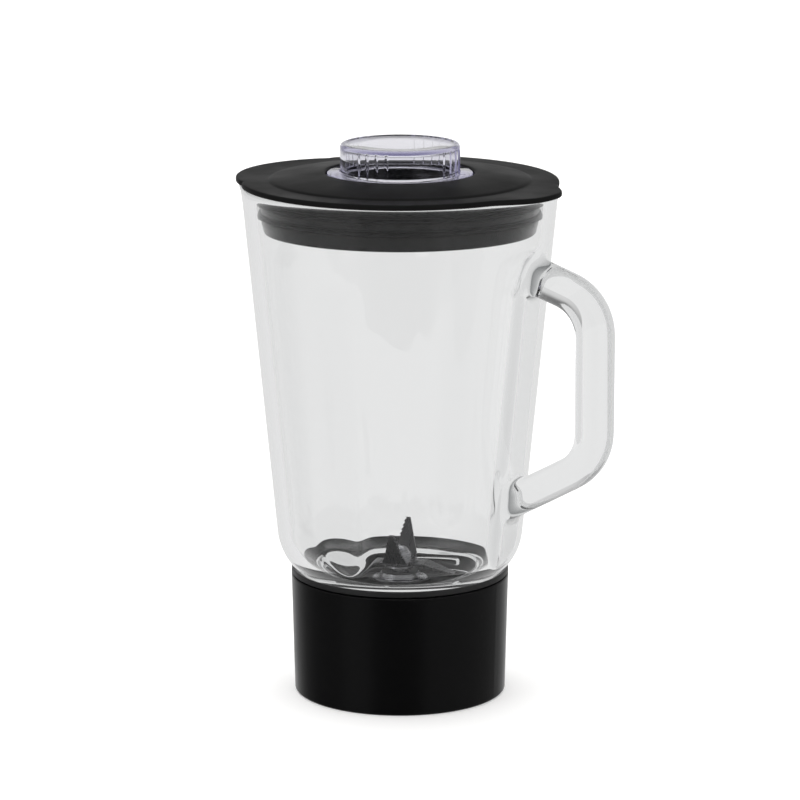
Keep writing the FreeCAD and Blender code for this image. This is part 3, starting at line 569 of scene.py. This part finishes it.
def lid_rows():
    """Closed outline of the lid: over the top, round the edge, under the flange, spigot and ceiling."""
    under = FLANGE_TOP - FLANGE_T
    rows = [fixed(CAP_HOLE_R, RECESS_FLOOR - 0.3), fixed(CAP_HOLE_R + 0.3, RECESS_FLOOR),
            fixed(RECESS_R - 1.0, RECESS_FLOOR), fixed(RECESS_R - 0.2, RECESS_FLOOR + 0.2)]
    rows += [fixed(RECESS_R, RECESS_FLOOR + 1.0)]
    rows += [fixed(*p) for p in arc((RECESS_R + 1.3, CREST_Z - 1.3), 1.3, 180.0, 84.0, 6)]
    for t in spread(0.0, 1.0, 14)[1:]:
        r = RECESS_R + 1.6 + t * (CREASE_R - 0.9 - RECESS_R - 1.6)
        sag = (CREST_Z - FLANGE_TOP - 0.45) * (0.55 * t + 0.45 * t * t)
        rows.append(fixed(r, CREST_Z - sag))
    rows += [fixed(CREASE_R - 0.5, FLANGE_TOP + 0.16), fixed(CREASE_R, FLANGE_TOP + 0.02)]
    rows += [on_flange(t, FLANGE_TOP) for t in (0.08, 0.3, 0.6)]
    rows += [on_flange(1.0, FLANGE_TOP, 2.2)]
    for a in spread(90.0, -90.0, 9):
        dz = (FLANGE_T / 2 - EDGE_R if a > 0 else EDGE_R - FLANGE_T / 2 if a < 0 else 0.0)
        z = FLANGE_TOP - FLANGE_T / 2 + dz + EDGE_R * math.sin(math.radians(a))
        rows.append(on_flange(1.0, z, EDGE_R - EDGE_R * math.cos(math.radians(a))))
    rows += [on_flange(1.0, under, 2.2), on_flange(0.6, under), fixed(PLUG_TOP_R + 0.8, under)]
    rows += [fixed(SPIGOT_R + 0.5, under), fixed(SPIGOT_R, under - 0.3)]
    rows += [fixed(SPIGOT_R, LID_CEILING + 0.4), fixed(SPIGOT_R - 0.5, LID_CEILING), fixed(44.0, LID_CEILING)]
    rows += [fixed(CAP_HOLE_R + 0.6, LID_CEILING), fixed(CAP_HOLE_R, LID_CEILING + 0.6), fixed(CAP_HOLE_R, 233.4)]
    return rows


def plug_rows():
    """Closed outline of the plug ring: top, down the outside past the seal grooves, foot and back up."""
    top = FLANGE_TOP - FLANGE_T - 0.04
    inner = SPIGOT_R + 0.15
    rows = [fixed(inner + 0.3, top), fixed(PLUG_TOP_R - 0.3, top), fixed(PLUG_TOP_R, top - 0.4)]
    for z_low in reversed(SEALS):
        root = plug_r(z_low) - GROOVE_DEPTH
        high = z_low + SEAL_T
        rows += [fixed(plug_r(high), high + 0.7), fixed(plug_r(high) - 0.1, high + 0.1), fixed(root, high)]
        rows += [fixed(root, z_low), fixed(plug_r(z_low) - 0.1, z_low - 0.1), fixed(plug_r(z_low), z_low - 0.7)]
    rows += [fixed(plug_r(z) - inset, z) for z, inset in ((217.0, 0.0), (216.2, 0.35), (214.6, 0.4))]
    rows += [fixed(*p) for p in arc((PLUG_FOOT_R - 1.6, PLUG_FOOT + 1.2), 1.2, 0.0, -90.0, 5)]
    rows += [fixed(inner + 0.5, PLUG_FOOT), fixed(inner, PLUG_FOOT + 0.5)]
    rows += [fixed(inner, 222.0), fixed(inner, top - 0.4)]
    return rows


def turned_piece(name, rows):
    """One closed mesh turned round the jar's axis."""
    bm = bmesh.new()
    close_grid(bm, turned_grid(bm, spread(0.0, 360.0, 361)[:-1], rows))
    return new_object(name, bm)


# ---------------------------------------------------------------- measuring cap
def grip_rib(angle):
    """1 on the middle of a grip rib, 0 between ribs."""
    off = wrap(wrap(angle) + 45.0) % 90.0 - 45.0
    nearest = min(abs(off - a) for a in GRIP_RIB_ANGLES)
    return 1.0 - smoothstep(GRIP_RIB_HALF * 0.45, GRIP_RIB_HALF, nearest)


def on_drum(r, z, rib_share):
    """A row of the drum; rib_share fades the grip ribs in and out."""
    return lambda angle: (r + rib_share * GRIP_RIB_HEIGHT * grip_rib(angle), z)


def cap_rows():
    """Rows of the cap's outside, from the foot of its tube up to the rim of its top."""
    low, high = CAP_FLANGE_Z
    rows = [fixed(CAP_TUBE_IN + 0.5, CAP_FOOT), fixed(CAP_TUBE_R - 0.5, CAP_FOOT)]
    rows += [fixed(CAP_TUBE_R, z) for z in (CAP_FOOT + 0.5, 224.0, low - 0.6)]
    rows += [fixed(CAP_TUBE_R + 0.6, low)]
    rows += [fixed(*p) for p in arc((CAP_FLANGE_R - 0.5, low + 0.5), 0.5, -90.0, 0.0, 4)]
    rows += [fixed(*p) for p in arc((CAP_FLANGE_R - 0.5, high - 0.5), 0.5, 0.0, 90.0, 4)]
    rows += [on_drum(CAP_DRUM_R + 0.9, high, 1.0), on_drum(CAP_DRUM_R + 0.2, high + 0.25, 1.0),
             on_drum(CAP_DRUM_R, high + 1.0, 1.0)]
    rows += [on_drum(CAP_DRUM_R, z, 1.0) for z in (242.0, 246.0, 248.2)]
    rows += [on_drum(CAP_DRUM_R, z, share) for z, share in ((248.8, 0.9), (249.2, 0.5), (249.4, 0.0))]
    rows += [fixed(*p) for p in arc((CAP_DRUM_R - 1.8, CAP_TOP - 1.8), 1.8, 8.0, 90.0, 7)]
    return rows


def cap_top_rows():
    """Rows of the closed top, from its rim to the middle."""
    rows = [fixed(CAP_DRUM_R - 2.6, CAP_TOP - 0.02), fixed(CAP_DRUM_R - 3.2, CAP_TOP - 0.28)]
    return rows + [fixed(r, CAP_TOP - CAP_DISH) for r in (CAP_DRUM_R - 4.0, 16.0, 8.0)]


def cap_inner_rows():
    """Rows of the inside, from the middle of the ceiling down to the foot."""
    inner = CAP_DRUM_R - 2.2
    ceiling = CAP_TOP - CAP_WALL - CAP_DISH
    rows = [fixed(r, ceiling) for r in (8.0, 16.0, inner - 2.4)]
    rows += [fixed(*p) for p in arc((inner - 1.2, ceiling - 1.2), 1.2, 90.0, 0.0, 5)]
    rows += [fixed(inner, 244.0), fixed(inner - 0.05, 240.0)]
    return rows + [fixed(CAP_TUBE_IN, z) for z in (235.0, 224.0, CAP_FOOT + 0.5)]


def build_cap():
    """The clear cap as one closed mesh with a solid top."""
    angles = spread(0.0, 360.0, 721)[:-1]
    bm = bmesh.new()
    outside = turned_grid(bm, angles, cap_rows() + cap_top_rows())
    inside = turned_grid(bm, angles, cap_inner_rows())
    for grid in (outside, inside):
        for ring_a, ring_b in zip(grid, grid[1:]):
            bridge(bm, ring_a, ring_b)
    bridge(bm, inside[-1], outside[0])
    for ring, z in ((outside[-1], CAP_TOP - CAP_DISH), (inside[0], CAP_TOP - CAP_WALL - CAP_DISH)):
        middle = bm.verts.new((0, 0, z * MM))
        for i in range(len(ring)):
            bm.faces.new((ring[i], ring[(i + 1) % len(ring)], middle))
    return new_object("cap_clear_body", bm)


# ---------------------------------------------------------------- materials
CLEAR_IOR = 1.42
CLEAR_SHINE = 0.12
SHADOW_TINT = (0.93, 0.93, 0.93, 1.0)      # what a shadow ray keeps at each clear surface
# tone of the painted glow, an emission that is no lamp, shown where light is trapped inside a clear piece
PAINTED_GLOW_TONE = (0.95, 0.95, 0.95, 1.0)


def node_material(name):
    """An empty node material and its tree, shader and output."""
    material = bpy.data.materials.new(name)
    material.use_nodes = True
    tree = material.node_tree
    shader = tree.nodes["Principled BSDF"]
    output = tree.nodes["Material Output"]
    return material, tree, shader, output


def noise(tree, scale, detail, stretch=(1.0, 1.0, 1.0)):
    """Noise in the object's own space; scale is per metre."""
    coordinates = tree.nodes.new("ShaderNodeTexCoord")
    mapping = tree.nodes.new("ShaderNodeMapping")
    mapping.inputs["Scale"].default_value = stretch
    texture = tree.nodes.new("ShaderNodeTexNoise")
    texture.inputs["Scale"].default_value = scale
    texture.inputs["Detail"].default_value = detail
    tree.links.new(coordinates.outputs["Object"], mapping.inputs["Vector"])
    tree.links.new(mapping.outputs["Vector"], texture.inputs["Vector"])
    return texture.outputs["Fac"]


def bump(tree, shader, height, strength, distance):
    """Bump from a height."""
    node = tree.nodes.new("ShaderNodeBump")
    node.inputs["Strength"].default_value = strength
    node.inputs["Distance"].default_value = distance
    tree.links.new(height, node.inputs["Height"])
    tree.links.new(node.outputs["Normal"], shader.inputs["Normal"])


def remap(tree, value, low, high):
    """Noise brought into a range."""
    node = tree.nodes.new("ShaderNodeMapRange")
    node.inputs["From Min"].default_value = 0.3
    node.inputs["From Max"].default_value = 0.7
    node.inputs["To Min"].default_value = low
    node.inputs["To Max"].default_value = high
    tree.links.new(value, node.inputs["Value"])
    return node.outputs["Result"]


def tint(tree, shader, value, dark, light):
    """Base colour that wanders between two close colours."""
    node = tree.nodes.new("ShaderNodeMix")
    node.data_type = "RGBA"
    node.inputs["A"].default_value = (*dark, 1.0)
    node.inputs["B"].default_value = (*light, 1.0)
    tree.links.new(value, node.inputs["Factor"])
    tree.links.new(node.outputs["Result"], shader.inputs["Base Color"])


def calculate(tree, operation, first, second):
    """One step of arithmetic; either input may be a number."""
    node = tree.nodes.new("ShaderNodeMath")
    node.operation = operation
    for socket, value in zip(node.inputs, (first, second)):
        if isinstance(value, (int, float)):
            socket.default_value = value
        else:
            tree.links.new(value, socket)
    return node.outputs["Value"]


def clear_material(name, colour, absorb, density, wave_scale, wave_depth, trapped_after):
    """Clear glass or plastic: refraction, faint waves in the surface and colour in its depth.

    Light turned back more often than trapped_after inside the piece is taken as spent, and there the surface glows
    with an even pale painted light, an emission standing in for the light such paths would bring.
    """
    material, tree, shader, output = node_material(name)
    shader.inputs["Base Color"].default_value = (*colour, 1.0)
    shader.inputs["Roughness"].default_value = 0.0
    shader.inputs["IOR"].default_value = CLEAR_IOR
    shader.inputs["Specular IOR Level"].default_value = CLEAR_SHINE
    shader.inputs["Transmission Weight"].default_value = 1.0
    waves = noise(tree, wave_scale, 1.5, (1.0, 1.0, 0.35))
    bump(tree, shader, waves, 1.0, wave_depth)
    light_path = tree.nodes.new("ShaderNodeLightPath")
    through = tree.nodes.new("ShaderNodeBsdfTransparent")
    through.inputs["Color"].default_value = SHADOW_TINT
    # painted light: past trapped_after glossy turns the clear surface becomes an even pale emission
    painted_glow_mask = calculate(tree, "GREATER_THAN", light_path.outputs["Glossy Depth"], trapped_after)
    glow = tree.nodes.new("ShaderNodeEmission")
    glow.inputs["Color"].default_value = PAINTED_GLOW_TONE
    lit = tree.nodes.new("ShaderNodeMixShader")
    tree.links.new(painted_glow_mask, lit.inputs["Fac"])
    tree.links.new(shader.outputs["BSDF"], lit.inputs[1])
    tree.links.new(glow.outputs["Emission"], lit.inputs[2])
    mix = tree.nodes.new("ShaderNodeMixShader")
    tree.links.new(light_path.outputs["Is Shadow Ray"], mix.inputs["Fac"])
    tree.links.new(lit.outputs["Shader"], mix.inputs[1])
    tree.links.new(through.outputs["BSDF"], mix.inputs[2])
    tree.links.new(mix.outputs["Shader"], output.inputs["Surface"])
    depth = tree.nodes.new("ShaderNodeVolumeAbsorption")
    depth.inputs["Color"].default_value = (*absorb, 1.0)
    depth.inputs["Density"].default_value = density
    tree.links.new(depth.outputs["Volume"], output.inputs["Volume"])
    return material


def moulded_material(name, dark, light, rough, grain_scale, grain_depth, shine=0.5):
    """Moulded plastic or rubber: fine grain, uneven gloss and a slightly uneven colour."""
    material, tree, shader, _ = node_material(name)
    shader.inputs["Specular IOR Level"].default_value = shine
    tint(tree, shader, noise(tree, 60.0, 3.0), dark, light)
    tree.links.new(remap(tree, noise(tree, 35.0, 4.0), *rough), shader.inputs["Roughness"])
    bump(tree, shader, noise(tree, grain_scale, 3.0), 0.6, grain_depth)
    return material


def steel_material(name, shade, rough, stretch):
    """Brushed or turned steel: fine lines along one direction."""
    material, tree, shader, _ = node_material(name)
    shader.inputs["Metallic"].default_value = 1.0
    lines = noise(tree, 900.0, 2.0, stretch)
    tint(tree, shader, lines, tuple(c * 0.82 for c in shade), shade)
    tree.links.new(remap(tree, lines, *rough), shader.inputs["Roughness"])
    bump(tree, shader, lines, 0.4, 0.00003)
    return material


def make_materials():
    """Every material by its slot in the record."""
    return {
        "jar_glass": clear_material("jar_glass", (0.940, 0.942, 0.942), (0.5, 0.51, 0.515),
                                    16.0, 22.0, 0.00005, 1.5),
        "cap_clear": clear_material("cap_clear", (0.93, 0.93, 0.945), (0.45, 0.43, 0.62),
                                    60.0, 40.0, 0.00006, 4.5),
        "base_black": moulded_material("base_black", (0.0022, 0.0022, 0.0023), (0.0034, 0.0034, 0.0036),
                                       (0.2, 0.27), 900.0, 0.00001, 0.2),
        "collar_black": moulded_material("collar_black", (0.010, 0.010, 0.0105), (0.015, 0.015, 0.0155),
                                         (0.34, 0.46), 1400.0, 0.00002),
        "lid_black": moulded_material("lid_black", (0.005, 0.005, 0.005), (0.009, 0.009, 0.009),
                                      (0.38, 0.52), 1600.0, 0.00002, 0.05),
        "plug_black": moulded_material("plug_black", (0.002, 0.002, 0.002), (0.004, 0.004, 0.004),
                                       (0.16, 0.24), 300.0, 0.00001, 0.12),
        "seal_grey": moulded_material("seal_grey", (0.03, 0.03, 0.031), (0.045, 0.045, 0.046),
                                      (0.45, 0.6), 1500.0, 0.00003),
        # blade steel is coloured much darker than the turned steel: painted shade standing in for the dark insides
        # of the jug that the blades reflect
        "blade_steel": steel_material("blade_steel", (0.16, 0.16, 0.165), (0.22, 0.38), (1.0, 0.08, 0.08)),
        "turned_steel": steel_material("turned_steel", (0.56, 0.56, 0.58), (0.2, 0.34), (0.08, 0.08, 1.0)),
        "bush_bronze": steel_material("bush_bronze", (0.50, 0.33, 0.15), (0.35, 0.5), (1.0, 1.0, 1.0)),
        "coupling_black": moulded_material("coupling_black", (0.014, 0.014, 0.014), (0.024, 0.024, 0.024),
                                           (0.5, 0.62), 700.0, 0.00005),
    }


def dress(obj, material):
    """Gives a new piece its only material."""
    obj.data.materials.clear()
    obj.data.materials.append(material)


def dress_cad_nodes(materials):
    """Gives each CAD node that still shows the material of its slot."""
    for entry in frame["record"]["subparts"]:
        node = frame["nodes"][entry["node"]]
        for slot in node.material_slots:
            slot.material = materials[entry["material_slot"]]


# ---------------------------------------------------------------- studio
FRONT = Vector((math.sin(math.radians(CAMERA_AZIMUTH)), -math.cos(math.radians(CAMERA_AZIMUTH)), 0.0))
RIGHT = Vector((math.cos(math.radians(CAMERA_AZIMUTH)), math.sin(math.radians(CAMERA_AZIMUTH)), 0.0))

# Brightness of the studio as glossy surfaces see it, by degrees round from the front of the studio.
STUDIO_ROUND = ((-180, 0.9), (-150, 0.55), (-122, 0.20), (-100, 0.10), (-68, 0.12),
                (-60, 0.24), (-34, 0.24), (-28, 0.02), (0, 0.01), (20, 0.03),
                (30, 0.22), (90, 0.24), (122, 0.24), (150, 0.55), (180, 0.9))
STUDIO_TOP = 0.22


def dot_with(tree, vector, constant):
    """Dot product of a direction with a fixed vector."""
    node = tree.nodes.new("ShaderNodeVectorMath")
    node.operation = "DOT_PRODUCT"
    node.inputs[1].default_value = constant
    tree.links.new(vector, node.inputs[0])
    return node.outputs["Value"]


def build_world():
    """White surroundings for what is seen and lit; a dimmer studio with two soft boxes for reflections."""
    world = bpy.data.worlds.new("studio")
    bpy.context.scene.world = world
    world.use_nodes = True
    tree = world.node_tree
    background = tree.nodes["Background"]
    direction = tree.nodes.new("ShaderNodeTexCoord").outputs["Generated"]
    front = dot_with(tree, direction, FRONT)
    right = dot_with(tree, direction, RIGHT)
    up = dot_with(tree, direction, Vector((0.0, 0.0, 1.0)))
    turn = calculate(tree, "ARCTAN2", right, front)
    share = calculate(tree, "ADD", calculate(tree, "DIVIDE", turn, 2 * math.pi), 0.5)
    ramp = tree.nodes.new("ShaderNodeValToRGB")
    stops = ramp.color_ramp.elements
    while len(stops) < len(STUDIO_ROUND):
        stops.new(0.5)
    for stop, (degrees, value) in zip(stops, STUDIO_ROUND):
        stop.position = (degrees + 180.0) / 360.0
        stop.color = (value, value, value, 1.0)
    tree.links.new(share, ramp.inputs["Fac"])
    overhead = tree.nodes.new("ShaderNodeMapRange")
    overhead.interpolation_type = "SMOOTHSTEP"
    overhead.inputs["From Min"].default_value = 0.12
    overhead.inputs["From Max"].default_value = 0.45
    tree.links.new(up, overhead.inputs["Value"])
    studio = tree.nodes.new("ShaderNodeMix")
    studio.data_type = "RGBA"
    studio.inputs["B"].default_value = (STUDIO_TOP, STUDIO_TOP, STUDIO_TOP, 1.0)
    tree.links.new(overhead.outputs["Result"], studio.inputs["Factor"])
    tree.links.new(ramp.outputs["Color"], studio.inputs["A"])
    reflected = tree.nodes.new("ShaderNodeMix")
    reflected.data_type = "RGBA"
    reflected.inputs["A"].default_value = (1.0, 1.0, 1.0, 1.0)
    tree.links.new(tree.nodes.new("ShaderNodeLightPath").outputs["Is Glossy Ray"], reflected.inputs["Factor"])
    tree.links.new(studio.outputs["Result"], reflected.inputs["B"])
    tree.links.new(reflected.outputs["Result"], background.inputs["Color"])


def build_floor():
    """Plain pale floor; what is refracted sees it as an even white."""
    bm = bmesh.new()
    bmesh.ops.create_grid(bm, x_segments=1, y_segments=1, size=12.0)
    floor = new_object("floor", bm)
    material, tree, shader, output = node_material("floor_white")
    shader.inputs["Base Color"].default_value = (0.93, 0.925, 0.92, 1.0)
    shader.inputs["Roughness"].default_value = 0.9
    shader.inputs["Specular IOR Level"].default_value = 0.1
    shader.inputs["Emission Color"].default_value = (1.0, 0.995, 0.99, 1.0)
    shader.inputs["Emission Strength"].default_value = 0.16
    white = tree.nodes.new("ShaderNodeEmission")
    mix = tree.nodes.new("ShaderNodeMixShader")
    tree.links.new(tree.nodes.new("ShaderNodeLightPath").outputs["Is Transmission Ray"], mix.inputs["Fac"])
    tree.links.new(shader.outputs["BSDF"], mix.inputs[1])
    tree.links.new(white.outputs["Emission"], mix.inputs[2])
    tree.links.new(mix.outputs["Shader"], output.inputs["Surface"])
    dress(floor, material)
    floor.visible_glossy = False


def area_light(name, location, size, watts):
    """A soft box that faces the middle of the jug."""
    data = bpy.data.lights.new(name, "AREA")
    data.shape = "SQUARE"
    data.size = size
    data.energy = watts
    light = bpy.data.objects.new(name, data)
    light.location = location
    aim = Vector((0.0, 0.0, 0.12)) - Vector(location)
    light.rotation_euler = aim.to_track_quat("-Z", "Y").to_euler()
    bpy.context.collection.objects.link(light)
    return light


def build_lights():
    """One large overhead soft box and a weak one from the left front."""
    overhead = area_light("overhead", FRONT * -0.4 + Vector((0.0, 0.0, 2.2)), 2.4, 26.0)
    overhead.visible_glossy = False
    left = area_light("left", FRONT * 1.2 - RIGHT * 1.5 + Vector((0.0, 0.0, 1.1)), 1.0, 3.0)
    left.visible_glossy = False


def build_camera():
    """Camera at the height, distance and pitch of the studio's front."""
    data = bpy.data.cameras.new("camera")
    data.lens = CAMERA_LENS
    data.clip_start = 0.05
    data.clip_end = 60.0
    camera = bpy.data.objects.new("camera", data)
    camera.location = FRONT * CAMERA_DISTANCE + Vector((0.0, 0.0, CAMERA_HEIGHT))
    camera.rotation_euler = (math.radians(90.0 - CAMERA_PITCH), 0.0, math.radians(CAMERA_AZIMUTH))
    bpy.context.collection.objects.link(camera)
    bpy.context.scene.camera = camera


# ---------------------------------------------------------------- the scene
def main():
    """Builds the pieces, dresses them and sets the studio."""
    materials = make_materials()
    dress_cad_nodes(materials)
    pieces = (
        (build_jar(), "jar", ("glass_jar", "jar_handle"), "jar_glass"),
        (turned_piece("lid_moulding", lid_rows()), "lid", ("lid_cover",), "lid_black"),
        (turned_piece("lid_plug_ring", plug_rows()), "lid", ("lid_plug",), "plug_black"),
        (build_cap(), "cap", ("measuring_cap",), "cap_clear"),
    )
    for piece, body, nodes, slot in pieces:
        dress(piece, materials[slot])
        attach(piece, body)
        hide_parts(*nodes)
    build_world()
    build_floor()
    build_lights()
    build_camera()
    scene = bpy.context.scene
    scene.view_settings.view_transform = "Standard"
    scene.cycles.max_bounces = 24
    scene.cycles.transmission_bounces = 20
    scene.cycles.glossy_bounces = 8


main()
